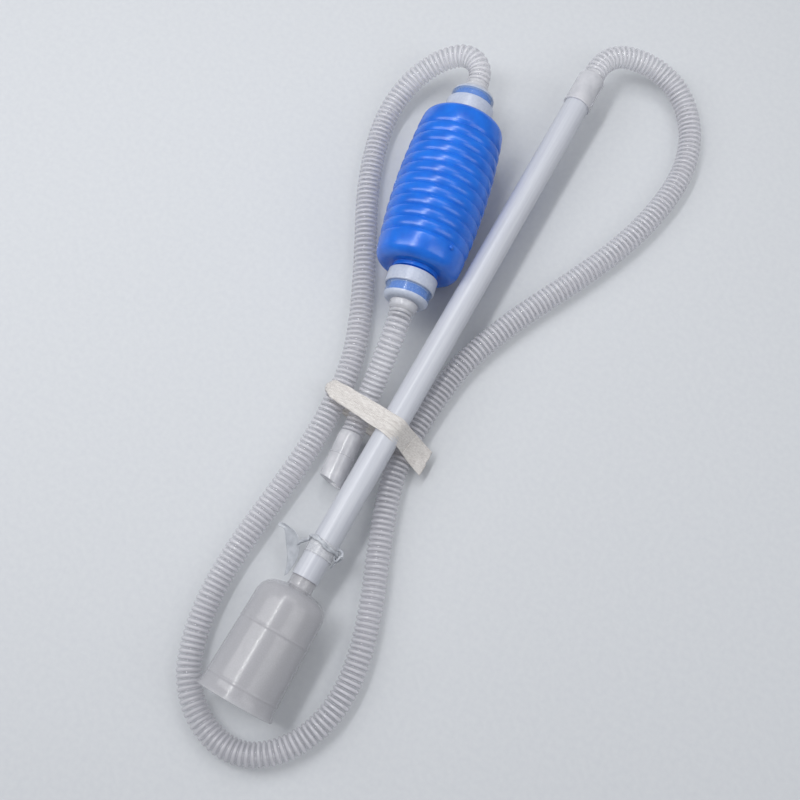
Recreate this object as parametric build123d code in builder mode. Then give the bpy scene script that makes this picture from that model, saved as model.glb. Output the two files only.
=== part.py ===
from build123d import *
import os
from math import cos, pi, radians, sin, tan

# Gravel vacuum siphon, in millimetres. +Z is up and +Y runs along the rigid intake tube, from its
# gravel cup towards the hose. The siphon lies coiled on a flat surface at Z = 0, tied round its middle:
# the cup's rim, the pump bulb's belly and the hoses rest on that surface.
# Water goes: cup, intake tube, main hose, inlet valve, bulb, outlet valve, outlet hose, nozzle.

os.makedirs("parts", exist_ok=True)

# ---------------------------------------------------------------- driving dimensions
running_gap = 0.05      # radial clearance of pieces that turn or slide on each other
seat_gap = 0.05         # end clearance between pieces that butt together

# Hose, moulded corrugated, and its smooth moulded cuffs
hose_od = 13.0
hose_id = 10.0
hose_lead = 9.5         # the hose runs straight on from a cuff this far
inlet_lead = 6.6        # and this far where it folds over into the bulb's inlet
nozzle_lead = 8.5
cuff_wall = 1.1
cuff_nose = 1.2         # length of the cuff's thick end ring, where it turns into corrugated hose
cuff_taper = 2.0

# Rigid intake tube
tube_od = 14.2
tube_wall = 0.8
tube_length = 325.0
tube_lap = 20.0         # how far the hose's cuff reaches over the tube

# Gravel cup
cup_length = 62.0       # shoulder to rim, without the neck
cup_top_d = 36.8
cup_low_d = 39.4
cup_rim_d = 41.6
cup_wall = 1.3
cup_shoulder = 9.0      # outer radius of the rounded shoulder
cup_dome = 3.0          # how far the shoulder falls away from the neck
rim_flare = 3.6
rim_lip = 1.0
neck_visible = 5.5
neck_engaged = 12.0
neck_collar = 0.35      # how far the neck's stop stands out from its spigot
neck_wall = 1.2
ring_places = (24.0, 54.0)   # the two fine rings round the cup, from its shoulder
ring_d = 0.9
ring_rise = 0.25

# Pump bulb, soft and ribbed
bulb_length = 94.0
bulb_mid_d = 52.0
bulb_end_d = 45.4
bulb_wall = 1.1
bulb_shoulder = 6.0
groove_count = 11
groove_pitch = 6.6
groove_depth = 1.3
bulb_neck_d = 21.0
bulb_neck_wall = 1.6
bulb_neck_length = 16.5
neck_root_d = 23.2
neck_root_length = 2.0
bead_place = 6.4        # snap bead round the neck, from the bulb's end face
bead_rise = 0.6
bead_width = 1.8

# Snap caps, one on each neck
collar_d = 27.2
collar_length = 8.3
drum_d = 24.6
cap_wall = 1.5
cap_edge = 1.4
spigot_d = 13.6
spigot_length = 3.6

# Check valves, one in each neck
flange_thick = 1.2
sleeve_wall = 1.4
sleeve_length = 8.0
plate_thick = 1.5
disc_room = 1.05        # left for the water between the disc and its sleeve
disc_lap = 2.2          # how far the disc laps over its port
disc_thick = 1.0
disc_lift = 1.8
stem_d = 2.0
stem_length = 4.2
guard_thick = 1.5
guard_rim = 1.1
guard_hub_d = 4.8
guard_spoke = 1.2
guard_hole_gap = 0.4
spoke_count = 4
stop_gap = 0.1          # left between the lifted disc and its guard

# Outlet nozzle
nozzle_od = 14.0
nozzle_wall = 1.25
nozzle_length = 28.0
nozzle_ring_place = 12.5
nozzle_ring_rise = 0.35
nozzle_ring_width = 1.0
nozzle_cut = 14.0       # degrees that its end is cut out of square

# Film ties
film = 0.6
film_gap = 1.5          # left between a band and what it holds
tie_rest = 0.1          # left under the band
tie_width = 11.0
tie_turn = 8.0          # degrees, the bundle tie lies askew
tied_hose_z = hose_od / 2 + film_gap + film + tie_rest
tied_left = -27.2       # the two passes of the main hose, across the tie from its centre
tied_right = 20.6
strip_width = 7.0
strip_y = -116.5
strip_gap = 0.2
knot_d = 6.0
twist_d = 2.4
flag_reach = 5.5        # from the tube's side to the flag
flag_drop = 4.0
flag_lean = 35.0        # degrees from flat
flag_outline = [        # across the flag from its twist, and along the tube
    (0, 1.5), (-9, 5), (-15, 6.5), (-9, 1), (-5, -6), (-1, -16), (1, -15), (1, -4),
]

# ---------------------------------------------------------------- where things lie
tube_x = 25.0
tube_z = cup_rim_d / 2
tube_low_y = -130.0
tube_top_y = tube_low_y + tube_length
bulb_turn = 11.5        # degrees, the bulb's axis from +Y towards -X
bulb_centre = Vector(-14.9, 85.8, bulb_mid_d / 2)
nozzle_turn = 5.8       # degrees, the nozzle from -Y towards +X
nozzle_start = Vector(6.5, -51.1, 8.3)
tie_centre = Vector(15.0, -40.0, 0)

inward = Vector(-sin(radians(bulb_turn)), cos(radians(bulb_turn)), 0)   # outlet towards inlet
spout = Vector(sin(radians(nozzle_turn)), -cos(radians(nozzle_turn)), 0)

# Planes whose X runs along a piece's axis, so that a profile is (distance along, radius).
cup_plane = Plane((tube_x, tube_low_y, tube_z), x_dir=(0, -1, 0), z_dir=(0, 0, 1))
tube_top_plane = Plane((tube_x, tube_top_y, tube_z), x_dir=(0, 1, 0), z_dir=(0, 0, 1))
bulb_plane = Plane(bulb_centre, x_dir=inward, z_dir=(0, 0, 1))
inlet_plane = Plane(bulb_centre + inward * (bulb_length / 2), x_dir=inward, z_dir=(0, 0, 1))
outlet_plane = Plane(bulb_centre - inward * (bulb_length / 2), x_dir=inward * -1, z_dir=(0, 0, 1))
nozzle_plane = Plane(nozzle_start, x_dir=spout, z_dir=(0, 0, 1))


def turning(plane):
    """The line that a piece drawn on this plane turns about."""
    return Axis(plane.origin, plane.x_dir)


def across(plane, distance):
    """A plane square to the piece's axis, this far along it."""
    return Plane(plane.origin + plane.x_dir * distance, x_dir=(0, 0, 1), z_dir=plane.x_dir)


def along(plane, distance):
    """The point on a piece's axis, this far along it."""
    return plane.origin + plane.x_dir * distance


def save(piece, label):
    piece.label = label
    export_step(piece, f"parts/{label}.step")


# ---------------------------------------------------------------- gravel cup
tube_id = tube_od - 2 * tube_wall
spigot_r = tube_id / 2 - running_gap
neck_r = spigot_r + neck_collar
neck_bore_r = spigot_r - neck_wall
cup_low = neck_visible + cup_length - rim_flare
cup_mouth = neck_visible + cup_length


def cup_radius(distance):
    """Outer radius of the cup's slightly conical side."""
    share = (distance - neck_visible - cup_dome) / (cup_low - neck_visible - cup_dome)
    return cup_top_d / 2 + share * (cup_low_d - cup_top_d) / 2


with BuildPart() as gravel_cup:
    with BuildSketch(cup_plane) as cup_outside:
        with BuildLine():
            Polyline(
                (-neck_engaged, 0),
                (-neck_engaged, spigot_r),
                (seat_gap, spigot_r),
                (seat_gap, neck_r),
                (neck_visible, neck_r),
                (neck_visible + cup_dome, cup_top_d / 2),
                (cup_low, cup_low_d / 2),
                (cup_mouth - rim_lip, cup_rim_d / 2),
                (cup_mouth, cup_rim_d / 2),
                (cup_mouth, 0),
                close=True,
            )
        make_face()
        shoulder = cup_outside.vertices().sort_by_distance((neck_visible + cup_dome, cup_top_d / 2))[0]
        fillet(shoulder, cup_shoulder)
    revolve(axis=turning(cup_plane))
    for place in ring_places:
        with BuildSketch(cup_plane):
            ring_s = neck_visible + place
            with Locations((ring_s, cup_radius(ring_s) + ring_rise - ring_d / 2)):
                Circle(ring_d / 2)
        revolve(axis=turning(cup_plane))
    with BuildSketch(cup_plane) as cup_inside:
        with BuildLine():
            Polyline(
                (-neck_engaged - 1, 0),
                (-neck_engaged - 1, neck_bore_r),
                (neck_visible + cup_wall, neck_bore_r),
                (neck_visible + cup_dome + cup_wall, cup_top_d / 2 - cup_wall),
                (cup_low, cup_low_d / 2 - cup_wall),
                (cup_mouth, cup_rim_d / 2 - cup_wall),
                (cup_mouth + 1, cup_rim_d / 2 - cup_wall),
                (cup_mouth + 1, 0),
                close=True,
            )
        make_face()
        corner = (neck_visible + cup_dome + cup_wall, cup_top_d / 2 - cup_wall)
        fillet(cup_inside.vertices().sort_by_distance(corner)[0], cup_shoulder - cup_wall)
    revolve(axis=turning(cup_plane), mode=Mode.SUBTRACT)
save(gravel_cup.part, "gravel_cup")

# ---------------------------------------------------------------- intake tube
with BuildPart() as intake_tube:
    with BuildSketch(across(tube_top_plane, -tube_length)):
        Circle(tube_od / 2)
        Circle(tube_id / 2, mode=Mode.SUBTRACT)
    extrude(amount=tube_length)
    chamfer(intake_tube.faces().sort_by(Axis.Y)[-1].outer_wire().edges(), tube_wall / 4)
save(intake_tube.part, "intake_tube")


# ---------------------------------------------------------------- smooth cuffs of the hose
def hose_cuff(plane, mouth, stop, inner_r, label):
    """A smooth cuff that slips over a tube or spigot from mouth to stop and ends in the hose's section."""
    outer_r = inner_r + cuff_wall
    ring = stop + cuff_taper
    with BuildPart() as cuff:
        with BuildSketch(plane):
            with BuildLine():
                Polyline(
                    (mouth, inner_r),
                    (mouth, outer_r - cuff_wall / 3),
                    (mouth + cuff_wall / 3, outer_r),
                    (stop, outer_r),
                    (ring, hose_od / 2),
                    (ring + cuff_nose, hose_od / 2),
                    (ring + cuff_nose, hose_id / 2),
                    (stop + seat_gap, hose_id / 2),
                    (stop + seat_gap, inner_r),
                    close=True,
                )
            make_face()
        revolve(axis=turning(plane))
    save(cuff.part, label)
    return ring + cuff_nose


tube_cuff_end = hose_cuff(tube_top_plane, -tube_lap, 0, tube_od / 2 + running_gap, "intake_cuff")

# ---------------------------------------------------------------- pump bulb
neck_od_r = bulb_neck_d / 2
neck_id_r = neck_od_r - bulb_neck_wall
half = bulb_length / 2
groove_span = groove_pitch * (groove_count - 1) / 2


def bulb_radius(distance):
    """The barrel's outer radius, largest at its middle."""
    return bulb_mid_d / 2 - (bulb_mid_d - bulb_end_d) / 2 * (distance / half) ** 2


grooves = [groove_pitch * i - groove_span for i in range(groove_count)]
with BuildPart() as pump_bulb:
    with BuildSketch(bulb_plane) as bulb_outside:
        with BuildLine():
            Line((-half, 0), (-half, bulb_end_d / 2))
            first = (grooves[0], bulb_radius(grooves[0]) - groove_depth)
            last = (grooves[-1], bulb_radius(grooves[-1]) - groove_depth)
            lead = (grooves[0] - groove_pitch / 3, bulb_radius(grooves[0]))
            tail = (grooves[-1] + groove_pitch / 3, bulb_radius(grooves[-1]))
            Polyline((-half, bulb_end_d / 2), lead, first)
            for here, there in zip(grooves, grooves[1:]):
                crest = (here + there) / 2
                ThreePointArc(
                    (here, bulb_radius(here) - groove_depth),
                    (crest, bulb_radius(crest)),
                    (there, bulb_radius(there) - groove_depth),
                )
            Polyline(last, tail, (half, bulb_end_d / 2), (half, 0), (-half, 0))
        make_face()
        ends = [
            bulb_outside.vertices().sort_by_distance((side * half, bulb_end_d / 2))[0] for side in (-1, 1)
        ]
        fillet(ends, bulb_shoulder)
    revolve(axis=turning(bulb_plane))
    for plane in (inlet_plane, outlet_plane):
        with BuildSketch(plane):
            with BuildLine():
                Polyline(
                    (-bulb_wall, 0),
                    (-bulb_wall, neck_root_d / 2),
                    (neck_root_length, neck_root_d / 2),
                    (neck_root_length, neck_od_r),
                    (bead_place - bead_width / 2, neck_od_r),
                    (bead_place - bead_width / 4, neck_od_r + bead_rise),
                    (bead_place + bead_width / 4, neck_od_r + bead_rise),
                    (bead_place + bead_width / 2, neck_od_r),
                    (bulb_neck_length, neck_od_r),
                    (bulb_neck_length, 0),
                    close=True,
                )
            make_face()
        revolve(axis=turning(plane))
    with BuildSketch(bulb_plane) as bulb_inside:
        inner_end = half - bulb_wall
        inner_end_r = bulb_end_d / 2 - groove_depth - bulb_wall
        inner_mid_r = bulb_mid_d / 2 - groove_depth - bulb_wall
        with BuildLine():
            ThreePointArc((-inner_end, inner_end_r), (0, inner_mid_r), (inner_end, inner_end_r))
            Polyline((inner_end, inner_end_r), (inner_end, 0), (-inner_end, 0), (-inner_end, inner_end_r))
        make_face()
        rims = [
            bulb_inside.vertices().sort_by_distance((side * inner_end, inner_end_r))[0] for side in (-1, 1)
        ]
        fillet(rims, bulb_shoulder - bulb_wall)
    revolve(axis=turning(bulb_plane), mode=Mode.SUBTRACT)
    for plane in (inlet_plane, outlet_plane):
        with BuildSketch(across(plane, -2 * bulb_wall)):
            Circle(neck_id_r)
        extrude(amount=2 * bulb_wall + bulb_neck_length + 1, mode=Mode.SUBTRACT)
save(pump_bulb.part, "pump_bulb")

# ---------------------------------------------------------------- snap caps
cap_bore_r = neck_od_r + running_gap
cap_start = neck_root_length + 0.3
collar_end = cap_start + collar_length
cap_seat = bulb_neck_length + seat_gap + flange_thick + seat_gap
cap_end = cap_seat + cap_wall
spigot_end = cap_end + spigot_length


def snap_cap(plane, label):
    """A cap whose collar snaps over the neck's bead, with a spigot for the hose's cuff."""
    with BuildPart() as cap:
        with BuildSketch(plane) as outline:
            with BuildLine():
                Polyline(
                    (cap_start, cap_bore_r),
                    (cap_start, collar_d / 2),
                    (collar_end, collar_d / 2),
                    (collar_end, drum_d / 2),
                    (cap_end, drum_d / 2),
                    (cap_end, spigot_d / 2),
                    (spigot_end, spigot_d / 2),
                    (spigot_end, hose_id / 2),
                    (cap_seat, hose_id / 2),
                    (cap_seat, cap_bore_r),
                    close=True,
                )
            make_face()
            fillet(outline.vertices().sort_by_distance((cap_end, drum_d / 2))[0], cap_edge)
            chamfer(outline.vertices().sort_by_distance((collar_end, collar_d / 2))[0], cap_edge / 3)
            chamfer(outline.vertices().sort_by_distance((cap_start, collar_d / 2))[0], cap_edge / 3)
            # The groove that the neck's bead sits in
            with BuildLine():
                groove_r = cap_bore_r + bead_rise
                Polyline(
                    (bead_place - bead_width / 2 - running_gap, cap_bore_r - 1),
                    (bead_place - bead_width / 2 - running_gap, cap_bore_r),
                    (bead_place - bead_width / 4 - running_gap, groove_r),
                    (bead_place + bead_width / 4 + running_gap, groove_r),
                    (bead_place + bead_width / 2 + running_gap, cap_bore_r),
                    (bead_place + bead_width / 2 + running_gap, cap_bore_r - 1),
                    close=True,
                )
            make_face(mode=Mode.SUBTRACT)
        revolve(axis=turning(plane))
    save(cap.part, label)


snap_cap(inlet_plane, "inlet_cap")
snap_cap(outlet_plane, "outlet_cap")

cap_cuff_r = spigot_d / 2 + running_gap
cuff_start = cap_end + seat_gap
inlet_cuff_end = hose_cuff(inlet_plane, cuff_start, spigot_end, cap_cuff_r, "bulb_inlet_cuff")
outlet_cuff_end = hose_cuff(outlet_plane, cuff_start, spigot_end, cap_cuff_r, "bulb_outlet_cuff")

# ---------------------------------------------------------------- check valves
sleeve_r = neck_id_r - running_gap
sleeve_id_r = sleeve_r - sleeve_wall
disc_r = sleeve_id_r - disc_room
flange_r = cap_bore_r - running_gap
flange_start = bulb_neck_length + seat_gap
flange_end = flange_start + flange_thick
sleeve_start = flange_start - sleeve_length


def valve_seat(plane, plate_start, label):
    """A flanged sleeve in the bulb's neck, with the ported plate that the disc closes."""
    with BuildPart() as seat:
        with BuildSketch(plane):
            with BuildLine():
                Polyline(
                    (sleeve_start, sleeve_id_r),
                    (sleeve_start, sleeve_r),
                    (flange_start, sleeve_r),
                    (flange_start, flange_r),
                    (flange_end, flange_r),
                    (flange_end, sleeve_id_r),
                    close=True,
                )
            make_face()
        revolve(axis=turning(plane))
        with BuildSketch(across(plane, plate_start)):
            Circle(sleeve_id_r + sleeve_wall / 2)
            Circle(disc_r - disc_lap, mode=Mode.SUBTRACT)
        extrude(amount=plate_thick)
    save(seat.part, label)


def valve_disc(plane, back, way, label):
    """A disc with a short guide stem. Its closing face is at back, and it opens along way, +1 or -1."""
    with BuildPart() as disc:
        with BuildSketch(across(plane, back)):
            Circle(disc_r)
        extrude(amount=way * disc_thick)
        fillet(disc.edges().filter_by(GeomType.CIRCLE), disc_thick / 5)
        with BuildSketch(across(plane, back + way * disc_thick)):
            Circle(stem_d / 2)
        extrude(amount=way * stem_length)
    save(disc.part, label)


def valve_guard(plane, near, way, label):
    """A spoked ring in the sleeve that stops the lifted disc, with a hole that guides its stem."""
    ring_r = sleeve_id_r - running_gap
    hub_hole_r = stem_d / 2 + guard_hole_gap
    with BuildPart() as guard:
        with BuildSketch(across(plane, near)):
            Circle(ring_r)
            Circle(ring_r - guard_rim, mode=Mode.SUBTRACT)
            with PolarLocations((ring_r - guard_rim / 2) / 2, spoke_count):
                Rectangle(ring_r - guard_rim / 2, guard_spoke)
            Circle(guard_hub_d / 2)
            Circle(hub_hole_r, mode=Mode.SUBTRACT)
        extrude(amount=way * guard_thick)
    save(guard.part, label)


# The inlet valve opens towards the bulb, so its plate is at the sleeve's outer end.
inlet_plate = flange_end - plate_thick
inlet_face = inlet_plate - seat_gap
inlet_stop = inlet_face - disc_thick - disc_lift - stop_gap
valve_seat(inlet_plane, inlet_plate, "inlet_valve_seat")
valve_disc(inlet_plane, inlet_face, -1, "inlet_valve_disc")
valve_guard(inlet_plane, inlet_stop, -1, "inlet_valve_guard")

# The outlet valve opens away from the bulb, so its plate is at the sleeve's inner end.
outlet_face = sleeve_start + plate_thick + seat_gap
outlet_stop = outlet_face + disc_thick + disc_lift + stop_gap
valve_seat(outlet_plane, sleeve_start, "outlet_valve_seat")
valve_disc(outlet_plane, outlet_face, 1, "outlet_valve_disc")
valve_guard(outlet_plane, outlet_stop, 1, "outlet_valve_guard")

# ---------------------------------------------------------------- outlet nozzle
with BuildPart() as outlet_nozzle:
    bore_r = nozzle_od / 2 - nozzle_wall
    with BuildSketch(nozzle_plane) as nozzle_outline:
        with BuildLine():
            Polyline(
                (0, hose_id / 2),
                (0, hose_od / 2),
                (cuff_nose, nozzle_od / 2),
                (nozzle_ring_place, nozzle_od / 2),
                (nozzle_ring_place, nozzle_od / 2 + nozzle_ring_rise),
                (nozzle_ring_place + nozzle_ring_width, nozzle_od / 2 + nozzle_ring_rise),
                (nozzle_ring_place + nozzle_ring_width, nozzle_od / 2),
                (nozzle_length + nozzle_od / 4, nozzle_od / 2),
                (nozzle_length + nozzle_od / 4, bore_r),
                (2 * cuff_nose, bore_r),
                (cuff_nose, hose_id / 2),
                close=True,
            )
        make_face()
    revolve(axis=turning(nozzle_plane))
    cut_normal = spout.rotate(Axis.Z, nozzle_cut)
    end_cut = Plane(along(nozzle_plane, nozzle_length), z_dir=cut_normal)
    split(bisect_by=end_cut, keep=Keep.BOTTOM)
save(outlet_nozzle.part, "outlet_nozzle")

# ---------------------------------------------------------------- hoses
# Each route is the hose's centre line from corner to corner. The main hose leaves the intake tube, turns
# back beside it and under the tie, goes round in front of the cup, up the other side and over into the
# bulb's inlet. The outlet hose slopes down from the bulb's outlet to the nozzle.
main_route = [
    along(tube_top_plane, tube_cuff_end),
    along(tube_top_plane, tube_cuff_end + hose_lead),
    (32.5, 218.5, 19),
    (46.5, 224, 15),
    (63, 224, 10.5),
    (77, 216, 7.8),
    (89.5, 199, 7),
    (95.5, 176, 6.8),
    (94, 151, 7),
    (87, 122, 6.9),
    (73.5, 90, 7.1),
    (52, 48, 7),
    (39, 14, 7.1),
    (35.5, -12, 7.4),
    (34.3, -40, 7.6),
    (36, -60, 7.4),
    (45.5, -90, 7),
    (60, -125, 6.8),
    (69, -158, 7),
    (67.5, -185, 6.9),
    (56, -207, 7.1),
    (37.5, -219, 7),
    (16, -216, 6.8),
    (-2.5, -201.5, 7),
    (-11.5, -180, 7.1),
    (-15.5, -155, 6.9),
    (-15, -127, 7),
    (-11.8, -97, 7.1),
    (-9.4, -66, 7.5),
    (-10.4, -36, 7.6),
    (-13.4, -15, 7.3),
    (-22.5, 10, 7),
    (-38.5, 43, 6.9),
    (-54.5, 73, 7),
    (-64, 97, 7.1),
    (-69.5, 119, 7.6),
    (-70, 136, 9.5),
    (-66, 152, 14),
    (-57.3, 164.6, 19.5),
    (-47.9, 171, 23.5),
    (-41.2, 171.8, 25.3),
    (-35, 169.1, 26),
    along(inlet_plane, inlet_cuff_end + inlet_lead),
    along(inlet_plane, inlet_cuff_end),
]
outlet_route = [
    along(outlet_plane, outlet_cuff_end),
    along(outlet_plane, outlet_cuff_end + hose_lead),
    (3, -8, 21.3),
    (4.2, -22.5, 14.8),
    (5, -34, 10.4),
    along(nozzle_plane, -nozzle_lead),
    nozzle_start,
]


arc_share = 0.45        # of the shorter run beside a corner, which its arc takes up


def corner_radii(route):
    """Each corner's arc, as large as its shorter run allows."""
    points = [Vector(*point) for point in route]
    radii = []
    for before, corner, after in zip(points, points[1:], points[2:]):
        turn = (corner - before).get_angle(after - corner)
        shorter = min((corner - before).length, (after - corner).length)
        radii.append(arc_share * shorter / tan(radians(turn) / 2))
    return radii


def hose(route, label):
    """A plain tube of the hose's section along its route."""
    radii = corner_radii(route)
    with BuildPart() as tube:
        with BuildLine() as path:
            FilletPolyline(*route, radius=radii)
        start = Vector(*route[0])
        with BuildSketch(Plane(start, z_dir=Vector(*route[1]) - start)):
            Circle(hose_od / 2)
            Circle(hose_id / 2, mode=Mode.SUBTRACT)
        sweep(path=path.wire())
    length = path.wire().length
    section = pi * (hose_od ** 2 - hose_id ** 2) / 4
    print(label, "length", round(length, 1), "tightest radii", [round(r, 1) for r in sorted(radii)[:6]])
    print(label, "volume over section times length", round(tube.part.volume / (section * length), 4))
    save(tube.part, label)


hose(main_route, "main_hose")
hose(outlet_route, "outlet_hose")

# ---------------------------------------------------------------- bundle tie
# A stretched film band round both passes of the main hose and the tube, with the outlet hose inside it.
tie_right = Vector(cos(radians(tie_turn)), -sin(radians(tie_turn)), 0)
tie_plane = Plane(tie_centre, x_dir=tie_right, z_dir=tie_right.cross(Vector(0, 0, 1)))
tied = [
    (tied_left, tied_hose_z, hose_od / 2),
    (tied_right, tied_hose_z, hose_od / 2),
    ((tube_x - tie_centre.X) / cos(radians(tie_turn)), tube_z, tube_od / 2),
]
with BuildPart() as bundle_tie:
    with BuildSketch(tie_plane):
        for x, z, r in tied:
            with Locations((x, z)):
                Circle(r + film_gap + film)
        make_hull()
    extrude(amount=tie_width / 2, both=True)
    with BuildSketch(tie_plane):
        for x, z, r in tied:
            with Locations((x, z)):
                Circle(r + film_gap)
        make_hull()
    extrude(amount=tie_width / 2, both=True, mode=Mode.SUBTRACT)
save(bundle_tie.part, "bundle_tie")

# ---------------------------------------------------------------- film strip on the tube
# A strip of film knotted round the tube near the cup: a band, a knot on the right and a twist on the left
# that opens into a loose flag, which leans from the tube towards the surface.
strip_plane = Plane((tube_x, strip_y, tube_z), x_dir=(0, 1, 0), z_dir=(0, 0, 1))
strip_r = tube_od / 2 + strip_gap
twist_start = Vector(tube_x - strip_r - film / 2, strip_y + strip_width / 2, tube_z)
twist_end = twist_start + Vector(-flag_reach, -flag_drop, -flag_drop)
with BuildPart() as film_strip:
    with BuildSketch(strip_plane):
        with Locations((strip_width / 2, strip_r + film / 2)):
            Rectangle(strip_width, film)
    revolve(axis=turning(strip_plane))
    with Locations((tube_x + strip_r + film + knot_d / 4, strip_y + strip_width / 3, tube_z)):
        Sphere(knot_d / 2)
    with BuildSketch(Plane(twist_start, z_dir=twist_end - twist_start)):
        Circle(twist_d / 2)
    extrude(amount=(twist_end - twist_start).length)
    with BuildSketch(across(strip_plane, -strip_width)):
        Circle(strip_r)
    extrude(amount=3 * strip_width, mode=Mode.SUBTRACT)
save(film_strip.part, "film_strip")

# The flag is flat here, drawn on a plane that leans away from the tube about its twist.
lean = Vector(cos(radians(flag_lean)), 0, sin(radians(flag_lean)))
flag_plane = Plane(twist_end - Vector(twist_d / 2, 0, 0), x_dir=lean, z_dir=lean.cross(Vector(0, 1, 0)))
with BuildPart() as film_flag:
    with BuildSketch(flag_plane):
        with BuildLine():
            Polyline(*flag_outline, close=True)
        make_face()
    extrude(amount=film)
save(film_flag.part, "film_flag")
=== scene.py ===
from math import ceil, cos, pi, radians, sin, tan

import bpy
from mathutils import Matrix, Vector, noise


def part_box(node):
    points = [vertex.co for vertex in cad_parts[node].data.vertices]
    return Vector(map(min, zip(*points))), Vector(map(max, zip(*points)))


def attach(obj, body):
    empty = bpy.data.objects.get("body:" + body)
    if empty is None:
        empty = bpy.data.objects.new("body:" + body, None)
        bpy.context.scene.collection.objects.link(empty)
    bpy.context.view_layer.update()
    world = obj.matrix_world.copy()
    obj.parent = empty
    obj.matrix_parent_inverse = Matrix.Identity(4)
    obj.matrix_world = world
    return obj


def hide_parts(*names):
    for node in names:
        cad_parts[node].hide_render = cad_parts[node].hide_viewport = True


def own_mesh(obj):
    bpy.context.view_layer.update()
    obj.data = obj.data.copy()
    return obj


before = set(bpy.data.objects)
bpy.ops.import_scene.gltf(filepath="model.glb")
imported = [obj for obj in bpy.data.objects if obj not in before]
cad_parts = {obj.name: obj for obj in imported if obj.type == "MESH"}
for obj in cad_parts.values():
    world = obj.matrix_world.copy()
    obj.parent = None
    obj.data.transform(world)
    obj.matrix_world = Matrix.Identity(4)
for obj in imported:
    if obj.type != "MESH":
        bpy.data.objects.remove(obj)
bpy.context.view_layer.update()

# Gravel vacuum siphon, lying tied up with its hose round it. Lengths are in millimetres where a
# name or a comment says nothing else, and MM turns them into metres, which every mesh is made in.
MM = 0.001
UP = Vector((0, 0, 1))

# ---------------------------------------------------------------- camera
# It looks steeply down on the bundle, turned so that the rigid tube climbs to the upper right.
CAMERA_TARGET = Vector((0.0184, -0.0202, 0.0))
CAMERA_DISTANCE = 0.5946
CAMERA_TILT = radians(17.0)     # from straight down
CAMERA_TURN = radians(28.87)
CAMERA_LENS = 49.5
CAMERA_SENSOR = 36.0

bpy.ops.object.camera_add(rotation=(CAMERA_TILT, 0, CAMERA_TURN))
camera = bpy.context.object
camera.data.lens = CAMERA_LENS
camera.data.sensor_width = CAMERA_SENSOR
sight = camera.rotation_euler.to_matrix() @ Vector((0, 0, -1))
camera.location = CAMERA_TARGET - sight * CAMERA_DISTANCE
bpy.context.scene.camera = camera


# ---------------------------------------------------------------- where the axes lie
def axis_place(origin, direction):
    """A place whose X runs along a piece's axis, with Z kept upright. The origin is in metres."""
    x = direction.normalized()
    y = UP.cross(x)
    turn = Matrix((x, y, UP)).transposed().to_4x4()
    return Matrix.Translation(origin) @ turn


def along(place, distance):
    """The point on an axis this many millimetres from its start, in metres."""
    return place @ Vector((distance * MM, 0, 0))


BULB_TURN = radians(11.5)
NOZZLE_TURN = radians(5.8)
INWARD = Vector((-sin(BULB_TURN), cos(BULB_TURN), 0))      # outlet towards inlet
SPOUT = Vector((sin(NOZZLE_TURN), -cos(NOZZLE_TURN), 0))
BULB_CENTRE = Vector((-0.0149, 0.0858, 0.026))                # in metres, as NOZZLE_START is
NOZZLE_START = Vector((0.0065, -0.0511, 0.0083))
HALF_BULB = 47.0        # from the bulb's centre to its end faces, without the necks

tube_low, tube_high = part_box("intake_tube")
tube_middle = (tube_low + tube_high) / 2
tube_foot = axis_place(Vector((tube_middle.x, tube_low.y, tube_middle.z)), Vector((0, -1, 0)))
tube_head = axis_place(Vector((tube_middle.x, tube_high.y, tube_middle.z)), Vector((0, 1, 0)))
bulb_place = axis_place(BULB_CENTRE, INWARD)
inlet_place = axis_place(BULB_CENTRE + INWARD * HALF_BULB * MM, INWARD)
outlet_place = axis_place(BULB_CENTRE - INWARD * HALF_BULB * MM, -INWARD)
nozzle_place = axis_place(NOZZLE_START, SPOUT)

# Shared diameters and stations of the moulded pieces
HOSE_R = 6.5
HOSE_BORE_R = 5.0
TUBE_R = 7.1
TUBE_BORE_R = 6.3
TUBE_LENGTH = 325.0
TUBE_LAP = 20.0         # how far the hose's cuff reaches over the tube
CUFF_WALL = 1.1
CUFF_END = 3.2          # from a cuff's stop to its nose
NECK_R = 10.5
NECK_LENGTH = 16.5
COLLAR_START = 3.1      # from the bulb's end face
COLLAR_END = 11.2
CLEAR_END = 16.3        # the drum is clear up to its round milky shoulder
CAP_END = 19.3
SPIGOT_END = 22.9
BEAD_PLACE = 6.4        # the middle of the snap bead round the neck
BEAD_RISE = 0.6
HOSE_START = 26.1       # where a hose leaves its cuff on the cap
INLET_LEAD = 32.7       # up to here it runs straight on before it folds over into the inlet
OUTLET_LEAD = 35.6
NOZZLE_LEAD = 8.5


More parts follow.
